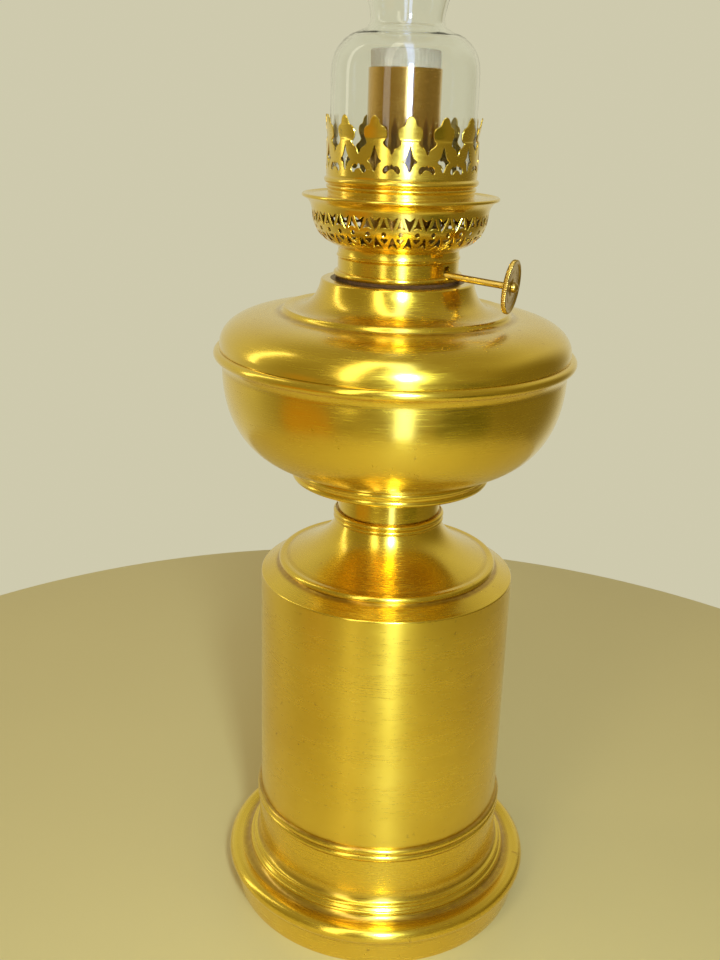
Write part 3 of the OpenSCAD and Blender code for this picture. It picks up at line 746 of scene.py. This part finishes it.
dome = (
    [(66.18, SEAM_Z + 2)]
    + bez((66.15, SEAM_Z + 3.2), (66.15, SEAM_Z + 10.6), (57.5, DOME_Z), (45.8, DOME_Z), 44)
    + bez((44.6, DOME_Z + 0.1), (43.4, DOME_Z + 0.3), (42.8, DOME_Z + 0.9), (42.4, DOME_Z + 1.9), 8)
    + bez((41.9, DOME_Z + 2.3), (40.8, DOME_Z + 2.3), (39.2, DOME_Z + 1.8), (38, DOME_Z + 1.9), 8)
    + bez((37, DOME_Z + 2), (32.4, DOME_Z + 2.8), (29.8, DOME_Z + 6.4), (28.6, DOME_Z + 11.6), 28)
    + arc((27.6, NECK_Z - 1), 1, 10, 90, 8)
    + [(25, NECK_Z), (25, NECK_Z - 0.7), (27.4, NECK_Z - 1.2)]
    + bez((27.9, DOME_Z + 10.6), (29, DOME_Z + 6), (31.6, DOME_Z + 2.2), (37, DOME_Z + 1.1), 12)
    + [(41, DOME_Z + 1.2), (43.2, DOME_Z - 0.6)]
    + bez((45.6, DOME_Z - 0.7), (57, DOME_Z - 0.7), (65.45, SEAM_Z + 10.2), (65.45, SEAM_Z + 3), 16)
    + [(65.48, SEAM_Z + 2)]
)
new_piece(lathe("dome", dome, segs=320), "font", "brass", DOME, "font_dome")

# ---------------------------------------------------------------- burner
for n in ("burner_flange", "burner_case"):
    dress(NODES[n], BRASS)
dress(NODES["outer_wick_tube"], TUBE)

# thumb wheel: dished faces, a raised boss and a knurled rim, on the spindle's line, which dips outwards
DIP = math.radians(5)
EXIT_X = math.sqrt(22.4 ** 2 - 7 ** 2)
ORIGIN = Vector((0, -7, SEAT_Z + 2.7 + EXIT_X * math.tan(DIP)))
SPINDLE = Matrix.Translation(ORIGIN) @ Matrix.Rotation(math.pi / 2 + DIP, 4, "Y")
WHEEL_L = 46 / math.cos(DIP)
WHEEL_T = 1.7


def on_spindle(ob):
    """Move vertices that are drawn in mm along the spindle's own line to their place."""
    me = ob.data
    me.transform(Matrix.Scale(0.001, 4) @ SPINDLE @ Matrix.Scale(1000, 4))
    return ob


def knurled(name, outline, teeth, depth, reach):
    """A turned piece whose surface outside the radius reach is cut with teeth."""
    ob = lathe(name, outline, segs=teeth * 6, step=0.35, sharp=40)
    me = ob.data
    co = np.empty(len(me.vertices) * 3)
    me.vertices.foreach_get("co", co)
    co = co.reshape(-1, 3)
    r = np.hypot(co[:, 0], co[:, 1])
    a = np.arctan2(co[:, 1], co[:, 0])
    k = np.clip((r * 1000 - reach) / 0.25, 0, 1) * (0.5 + 0.5 * np.cos(a * teeth)) ** 1.6
    f = 1 - depth / 1000 * k / np.maximum(r, 1e-6)
    co[:, 0] *= f
    co[:, 1] *= f
    me.vertices.foreach_set("co", co.ravel())
    me.update()
    return ob


W0 = WHEEL_L - WHEEL_T
wheel_outline = [(r, W0 + t) for r, t in (
    (1.26, 0.2), (2.7, 0.15), (3.1, 0.3), (3.5, 0.5), (5.6, 0.55), (5.8, 0.65), (6.0, 0.55), (8.0, 0.5),
    (8.35, 0.35), (8.7, 0.02), (9.2, 0), (9.45, 0.14), (9.55, 0.35), (9.55, 1.35), (9.45, 1.56), (9.2, 1.7),
    (8.65, 1.7), (8.3, 1.52), (8.1, 1.25), (6.0, 1.2), (5.8, 1.1), (5.6, 1.2), (3.5, 1.2), (3.05, 1.3),
    (2.8, 1.5), (2.3, 1.55), (1.26, 1.55))]
wheel = on_spindle(knurled("thumb_wheel_knurled", wheel_outline, 76, 0.28, 9.25))
new_piece(wheel, "spindle", "brass", AGED, "thumb_wheel")
head = [(0, WHEEL_L - 0.15), (1.9, WHEEL_L - 0.15)] + arc((0, WHEEL_L - 0.1), 1.9, 4, 60, 8) \
    + arc((0.35, WHEEL_L + 1.2), 0.55, 40, 90, 4) + [(0, WHEEL_L + 1.8)]
rivet = on_spindle(lathe("wheel_rivet_head", head, segs=64, step=0.3))
new_piece(rivet, "spindle", "brass", AGED, "wheel_rivet")

# wick: a knitted ring, split where it passes the air duct, and finely dimpled only where it can be seen
DUCT_Z = SEAT_Z + 4.5
MESH_Z = SEAT_Z + 2.7 + (EXIT_X - 15.2) * math.tan(DIP)
RACK_LOW = MESH_Z - 6 - 3 * 0.75
LOW = RACK_LOW - 6
SPLIT_TOP = DUCT_Z + 11 + 18 + 3


def knit(name, shells, wales=54, course=0.0011, amount=0.00009):
    """Turned shells, each an outline and a half-angle of its split, dimpled like a knitted tube."""
    verts, faces = [], []
    segs = wales * 6
    for outline, split in shells:
        p = ccw(outline)
        lo, hi = -math.pi + split, math.pi - split
        n = segs if split == 0 else int(segs * (hi - lo) / (2 * math.pi))
        ang = [lo + (hi - lo) * j / n for j in range(n if split == 0 else n + 1)]
        base = len(verts)
        mid = sum(q[0] for q in p) / len(p)
        for r, z in p:
            for a in ang:
                row = math.sin(2 * math.pi * z / 1000 / course + 0.9 * math.cos(a * wales))
                rib = math.cos(a * wales) * (0.75 + 0.25 * row)
                out = 1 if r > mid else -1
                dent = amount * (1 - rib)
                rr = r / 1000 - out * dent
                sunk = dent if z > WICK_TOP - 1.5 else 0
                verts.append((rr * math.cos(a), rr * math.sin(a), z / 1000 - sunk))
        m, na = len(p), len(ang)
        for i in range(m):
            k = (i + 1) % m
            for j in range(n):
                q = (j + 1) % na
                faces.append((base + i * na + j, base + i * na + q, base + k * na + q, base + k * na + j))
        if split:
            faces.append(tuple(base + i * na for i in range(m)))
            faces.append(tuple(base + i * na + na - 1 for i in range(m))[::-1])
    return make_object(name, verts, faces, sharp=70)


KNIT_Z = WICK_TOP - 14
crest = [(12.3, KNIT_Z)] + arc((11.6, WICK_TOP - 0.75), 0.7, 0, 90, 7) \
    + arc((10.75, WICK_TOP - 0.7), 0.65, 90, 180, 7) + [(10.1, KNIT_Z)]
upper = (densify([(10.1, SPLIT_TOP), (12.3, SPLIT_TOP), (12.3, KNIT_Z)], 2.5, closed=False)[:-1]
         + densify(crest, 0.45, closed=False)
         + densify([(10.1, KNIT_Z), (10.1, SPLIT_TOP)], 2.5, closed=False)[1:-1])
lower = densify([(10.1, LOW), (12.05, LOW), (12.05, RACK_LOW + 8), (12.3, RACK_LOW + 8.01),
                 (12.3, SPLIT_TOP + 0.05), (10.1, SPLIT_TOP + 0.05)], 2.5)
wick = knit("wick_knitted", [(upper, 0), (lower, math.asin(4.1 / 11.2))])
new_piece(wick, "wick", "cotton", COTTON, "wick")

gcollar = (
    [(22.3, CASE_TOP + 0.1)]
    + arc((22.35, CASE_TOP + 0.7), 0.5, -60, 60, 10)
    + bez((22.5, CASE_TOP + 1.3), (22.35, CASE_TOP + 1.9), (22.3, CASE_TOP + 2.6), (22.4, BASKET_Z), 10)
    + [(21.68, BASKET_Z), (21.68, CASE_TOP + 0.1)]
)
new_piece(lathe("gallery_bead", gcollar, segs=192), "gallery", "brass", BRASS, "gallery_collar")

# ---------------------------------------------------------------- basket: holes drawn on the flat sheet
bowl_curve = (
    [(22.4, BASKET_Z)]
    + bez((23.0, BASKET_Z + 0.7), (27.2, BASKET_Z + 2.1), (31.0, BASKET_Z + 5), (31.9, BASKET_Z + 10.4), 40)
    + bez((32.0, BASKET_Z + 11.4), (32.4, BASKET_Z + 14.6), (32.6, BASKET_Z + 16.2), (35.1, RIM_Z - 0.6), 24)
)
FRET0, FRET1 = BASKET_Z + 1.9, BASKET_Z + 14.1


def on_bowl(z):
    return np.interp(z, [q[1] for q in bowl_curve], [q[0] for q in bowl_curve]), z


below = [p for p in bowl_curve if p[1] < FRET0] + [on_bowl(FRET0 + 0.05)]
above = [on_bowl(FRET1 - 0.05)] + [p for p in bowl_curve if p[1] > FRET1]
rim = arc((35.2, RIM_Z), 0.7, -60, 120, 14)
lid = [(33.6, RIM_Z + 0.1), (28.4, CROWN_Z), (26.6, CROWN_Z), (26.6, CROWN_Z - 0.5), (28.4, CROWN_Z - 0.5),
       (33.4, RIM_Z - 0.5)]
v1, f1 = turned_mesh(below + inset(below, 0.5)[::-1])
v2, f2 = turned_mesh(above + rim + lid + inset(above, 0.5)[::-1])
solid = (v1 + v2, f1 + [tuple(i + len(v1) for i in f) for f in f2])
OVALS = 34
R_B = 31
HALF = math.pi * R_B / OVALS
swallow = mirrored(smooth_path([(0, 281.3), (0.4, 282.1), (0.85, 283.2), (1.3, 284.4), (1.8, 285.8)])
                   + smooth_path([(1.7, 285.92), (1.1, 285.5), (0.5, 284.95), (0, 284.75)]))
tail = mirrored([(0, 276.2)] + smooth_path([(0, 276.2), (0.55, 275.95), (1.2, 275.3), (1.78, 274.85)])[1:]
                + smooth_path([(1.86, 274.98), (1.35, 276.1), (0.85, 277.3), (0.35, 278.5), (0, 279.2)]))
tip = mirrored(smooth_path([(0, 282.45), (0.6, 282.35), (1.35, 282.0)])
               + smooth_path([(1.42, 282.15), (0.8, 283.2), (0.38, 284.4), (0, 285.75)]))
heart = mirrored(smooth_path([(0, 276.75), (0.5, 277.3), (1.15, 277.95), (1.17, 278.42), (0.75, 278.68),
                              (0.34, 278.54), (0, 278.5)], 4))
dot = [(0.74 * math.cos(a), 280.15 + 0.76 * math.sin(a)) for a in np.linspace(0, 2 * math.pi, 19)[:-1]]
side = [(-0.5, FRET0), (-0.5, 275.2), (-1.2, 276.6), (-1.75, 278.0), (-2.0, 279), (-2.0, 281.5),
        (-1.75, 282.5), (-1.35, 283.8), (-0.8, 285.0), (-0.55, 285.8), (-0.5, FRET1)]
basket = pierced("basket_fretwork", OVALS, R_B, profile_fn(bowl_curve), side, FRET0, FRET1,
                 [tip, dot, heart, shift(swallow, HALF), shift(tail, HALF)], step=0.75, extra=solid)
new_piece(basket, "gallery", "brass", PRESSED, "basket")

# ---------------------------------------------------------------- crown: a band, stars, wings and leaves
band = (
    [(26.6, CROWN_Z - 0.5), (26.6, CROWN_Z + 1.6)]
    + arc((26.45, CROWN_Z + 2.6), 0.75, -60, 60, 8)
    + [(26.62, CROWN_Z + 3.7)]
    + arc((26.8, CROWN_Z + 4.9), 1.15, -70, 62, 12)
    + [(27.1, CROWN_Z + 6.2), (27.2, CROWN_Z + 6.6)]
)
ring = turned_mesh(band + [(27.2, CROWN_Z + 6.95), (26.8, CROWN_Z + 6.95), (26.8, CROWN_Z + 5),
                           (26.1, CROWN_Z + 3.8), (26.1, CROWN_Z - 0.5)])
wall = [(27.22, 296), (27.28, 300), (27.3, 309.2), (27.32, 310.0), (27.18, 310.45), (26.92, 310.85),
        (27.0, 311.5), (27.2, 312.6), (27.62, 314.8), (28.25, 319)]
PRONGS = 14
R_C = 27.25
W = math.pi * R_C / PRONGS
star = mirrored([(0, 300.5), (0.35, 300.7)]
                + smooth_path([(0.6, 301.2), (0.95, 302.2), (1.5, 303.1), (2.45, 303.75)])
                + smooth_path([(2.45, 303.95), (1.5, 304.8), (0.9, 306.0), (0.45, 307.6), (0, 309.0)]))
wing = mirrored(smooth_path([(0, 301.3), (0.7, 301.15), (1.35, 300.65), (1.85, 300.0), (2.5, 299.95),
                             (2.95, 300.6), (2.75, 301.5), (2.15, 302.25), (1.4, 302.5), (0.6, 302.35),
                             (0, 302.95)], 4))
foot_of_gap = [(0, 306.0), (0.42, 306.6), (0.6, 307.3), (1.1, 307.95), (2.1, 308.55), (2.85, 309.2)]
lobe = [(3.05, 309.6), (3.05, 310.1), (2.6, 310.7), (2.15, 311.4), (1.92, 312.3), (1.95, 313.3),
        (2.3, 314.25), (2.95, 314.9), (3.75, 315.25), (4.25, 315.75)]
gap = (smooth_path(foot_of_gap, 4)[:-1] + smooth_path(lobe, 4)[:-1]
       + smooth_path([(4.38, 316.2), (4.6, 316.95), (5.1, 317.7), (5.65, 318.2), (W, 318.35)], 4))
leaf = [(W - u, z) for u, z in gap][:-1] + [(u - W, z) for u, z in gap[::-1]]
stile = [(3.45 - W, CROWN_Z + 6.9), (3.45 - W, 301.2), (3.0 - W, 302.35), (1.9 - W, 303.1), (0.9 - W, 303.7),
         (-W, 304.5), (-W, 305.88)]
crown = pierced("crown_fretwork", PRONGS, R_C, profile_fn(wall), stile, CROWN_Z + 6.9, 318.4,
                [star, shift(wing, W)], top=leaf, step=0.75, extra=ring)
new_piece(crown, "gallery", "brass", PRESSED, "crown")

# ---------------------------------------------------------------- chimney
SH = GLASS_Z + 33.6
WZ = SH + 18.4
TOPZ = GLASS_Z + 254
glass_out = (
    [(26.1, GLASS_Z + 0.6), (26.1, SH - 1)]
    + bez((26.1, SH), (26.1, SH + 7), (24.5, SH + 10), (20.4, SH + 13.2), 24)
    + bez((19.6, SH + 13.7), (17.6, SH + 14.8), (12.9, WZ - 2.8), (12.9, WZ), 20)
    + bez((12.9, WZ + 0.8), (13.3, WZ + 8), (21, WZ + 22), (21, WZ + 46), 50)
    + bez((20.98, WZ + 50), (20.6, WZ + 80), (17.8, TOPZ - 90), (17.8, TOPZ - 46), 30)
    + [(17.8, TOPZ - 0.6)]
)
chim = glass_out + arc((17.15, TOPZ - 0.65), 0.65, 5, 175, 8) + inset(glass_out, 1.3)[::-1] \
    + arc((25.45, GLASS_Z + 0.65), 0.65, 185, 355, 8)
new_piece(lathe("chimney_glass", chim, segs=192, step=4, tone=0), "chimney", "glass", GLASS, "chimney")

# ---------------------------------------------------------------- these keep their CAD shapes
for n in ("stem_socket", "spindle_shaft"):
    dress(NODES[n], AGED)
for n in ("burner_socket", "inner_air_tube", "air_duct", "spindle_bracket", "pinion", "wick_carrier",
          "wick_rack", "chimney_seat"):
    dress(NODES[n], SOOTY)
for n in ("base_plate", "base_screws"):
    dress(NODES[n], STEEL)
dress(NODES["ballast_ring"], IRON)
dress(NODES["felt_ring"], FELT)
dress(NODES["collar_gasket"], GASKET)
dress(NODES["wick_tails"], COTTON)


# ---------------------------------------------------------------- floor, light, camera
FLOOR_R = 370
g = Graph("pale_floor")
fn = g.noise(g.xyz, 3, 3, 0.5)
g.put("Base Color", g.mix(g.span(fn, 0.3, 0.7), (0.50, 0.40, 0.16, 1), (0.53, 0.425, 0.17, 1)))
g.put("Roughness", 0.5)
floor_edge = arc((FLOOR_R - 4, -4), 4, 80, 0, 6)
floor = lathe("floor", [(0, 0), (FLOOR_R - 4, 0)] + floor_edge + [(FLOOR_R, -18), (0, -18)], step=60, tone=0)
dress(floor, g.mat)


def area(name, energy, width, height, place, target, color, glossy=True):
    """A soft lamp that the camera never sees; one that isn't glossy shows in no reflection either."""
    ld = bpy.data.lights.new(name, "AREA")
    ld.energy = energy
    ld.color = color
    ld.shape = "RECTANGLE"
    ld.size = width
    ld.size_y = height
    ob = bpy.data.objects.new(name, ld)
    ob.location = place
    ob.rotation_euler = (Vector(target) - Vector(place)).to_track_quat("-Z", "Y").to_euler()
    ob.visible_camera = False
    ob.visible_transmission = False
    ob.visible_glossy = glossy
    bpy.context.scene.collection.objects.link(ob)


def seen(az, el, dist, z=0.22):
    """A point in the direction (azimuth round from the camera's, elevation) of the lamp's middle."""
    a, e = math.radians(CAM_AZ + az), math.radians(el)
    return (math.sin(a) * math.cos(e) * dist, -math.cos(a) * math.cos(e) * dist, z + math.sin(e) * dist)


CAM_AZ = 20.3
MID = (0, 0, 0.22)
area("flash", 2.4, 0.04, 0.14, seen(8, 20, 0.43), MID, (0.64, 0.83, 1.0))
area("tall_window", 4.6, 0.24, 2.1, seen(-27, 34, 1.2), MID, (1.0, 0.98, 0.86))
area("left_window", 1.5, 0.16, 1.3, seen(-98, 24, 1.3), MID, (1.0, 0.96, 0.82))
area("top", 2.1, 0.8, 0.8, (0, 0, 1.5), (0, 0, 0), (1, 0.93, 0.74), glossy=False)

world = bpy.data.worlds.new("studio")
bpy.context.scene.world = world
world.use_nodes = True
wt = world.node_tree
wt.nodes.clear()


def wnode(kind, inputs=None, **props):
    return add_node(wt, kind, inputs, **props)


def toward(az, el, lo, hi):
    """How nearly a ray points to this azimuth and elevation: 0 below the cosine lo, 1 above hi."""
    p = Vector(seen(az, el, 1.0, 0.0))
    d = wnode("ShaderNodeVectorMath", {0: ray, 1: p}, operation="DOT_PRODUCT").outputs["Value"]
    return wnode("ShaderNodeMapRange", {0: d, 1: lo, 2: hi}, interpolation_type="SMOOTHSTEP").outputs[0]


def upright(az, half, soft):
    """An upright strip of the surroundings, half as wide as this many degrees, with soft sides."""
    p = Vector(seen(az + 90, 0, 1.0, 0.0))
    d = wnode("ShaderNodeVectorMath", {0: ray, 1: p}, operation="DOT_PRODUCT").outputs["Value"]
    d = wnode("ShaderNodeMath", {0: d}, operation="ABSOLUTE").outputs[0]
    w, e = math.sin(math.radians(half + soft)), math.sin(math.radians(half - soft))
    side = wnode("ShaderNodeMapRange", {0: d, 1: w, 2: e}, interpolation_type="SMOOTHSTEP").outputs[0]
    return wnode("ShaderNodeMath", {0: side, 1: toward(az, 15, 0.3, 0.6)}, operation="MULTIPLY").outputs[0]


ray = wnode("ShaderNodeTexCoord").outputs["Generated"]
PALE = (0.62, 0.59, 0.42, 1)
sky = (0.30, 0.25, 0.10, 1)
for mask, colour in ((toward(180, 8, -0.35, 0.6), PALE),
                     (toward(0, 90, 0.5, 0.95), (0.34, 0.29, 0.14, 1)),
                     (toward(100, -10, 0.60, 0.95), (0.20, 0.16, 0.05, 1)),
                     (toward(-60, -28, 0.93, 0.975), (0.50, 0.27, 0.03, 1)),
                     (toward(49, -26, 0.93, 0.975), (0.11, 0.10, 0.02, 1)),
                     (toward(-15, 77, 0.985, 0.996), (1.3, 1.2, 0.9, 1)),
                     (upright(8, 5, 1.5), (2.4, 3.0, 5.0, 1))):
    sky = add_mix(wt, mask, sky, colour)
# A ray that comes straight from the camera, or only through glass, sees the plain tone. On a light path the
# surroundings count as one more bounce, so a ray that was only let through has turned once, not more.
path = wnode("ShaderNodeLightPath")
turns = wnode("ShaderNodeMath", {0: path.outputs["Ray Depth"], 1: path.outputs["Transmission Depth"]},
              operation="SUBTRACT").outputs[0]
through = wnode("ShaderNodeMath", {0: turns, 1: 1.5}, operation="LESS_THAN").outputs[0]
through = wnode("ShaderNodeMath", {0: path.outputs["Is Transmission Ray"], 1: through},
                operation="MULTIPLY").outputs[0]
straight = wnode("ShaderNodeMath", {0: path.outputs["Is Camera Ray"], 1: through},
                 operation="MAXIMUM").outputs[0]
bg = wnode("ShaderNodeBackground", {0: add_mix(wt, straight, sky, PALE), 1: 1.0})
wnode("ShaderNodeOutputWorld", {0: bg.outputs[0]})
bpy.context.scene.view_settings.view_transform = "Standard"

cam = bpy.data.cameras.new("camera")
cam.lens = 40.278
cam.sensor_width = 36
cam.clip_start = 0.01
cam.clip_end = 100
cam_ob = bpy.data.objects.new("camera", cam)
bpy.context.scene.collection.objects.link(cam_ob)
bpy.context.scene.camera = cam_ob
PITCH, ROLL, YAW = (math.radians(v) for v in (18.941, 1.698, -1.6695))
fwd = Vector((math.sin(YAW) * math.cos(PITCH), math.cos(YAW) * math.cos(PITCH), -math.sin(PITCH)))
right = Vector((math.cos(YAW), -math.sin(YAW), 0))
up = right.cross(fwd)
rx = math.cos(ROLL) * right + math.sin(ROLL) * up
ux = -math.sin(ROLL) * right + math.cos(ROLL) * up
m = Matrix((rx, ux, -fwd)).transposed().to_4x4()
m.translation = Vector((0, -0.40226, 0.31951))
cam_ob.matrix_world = Matrix.Rotation(math.radians(CAM_AZ), 4, "Z") @ m
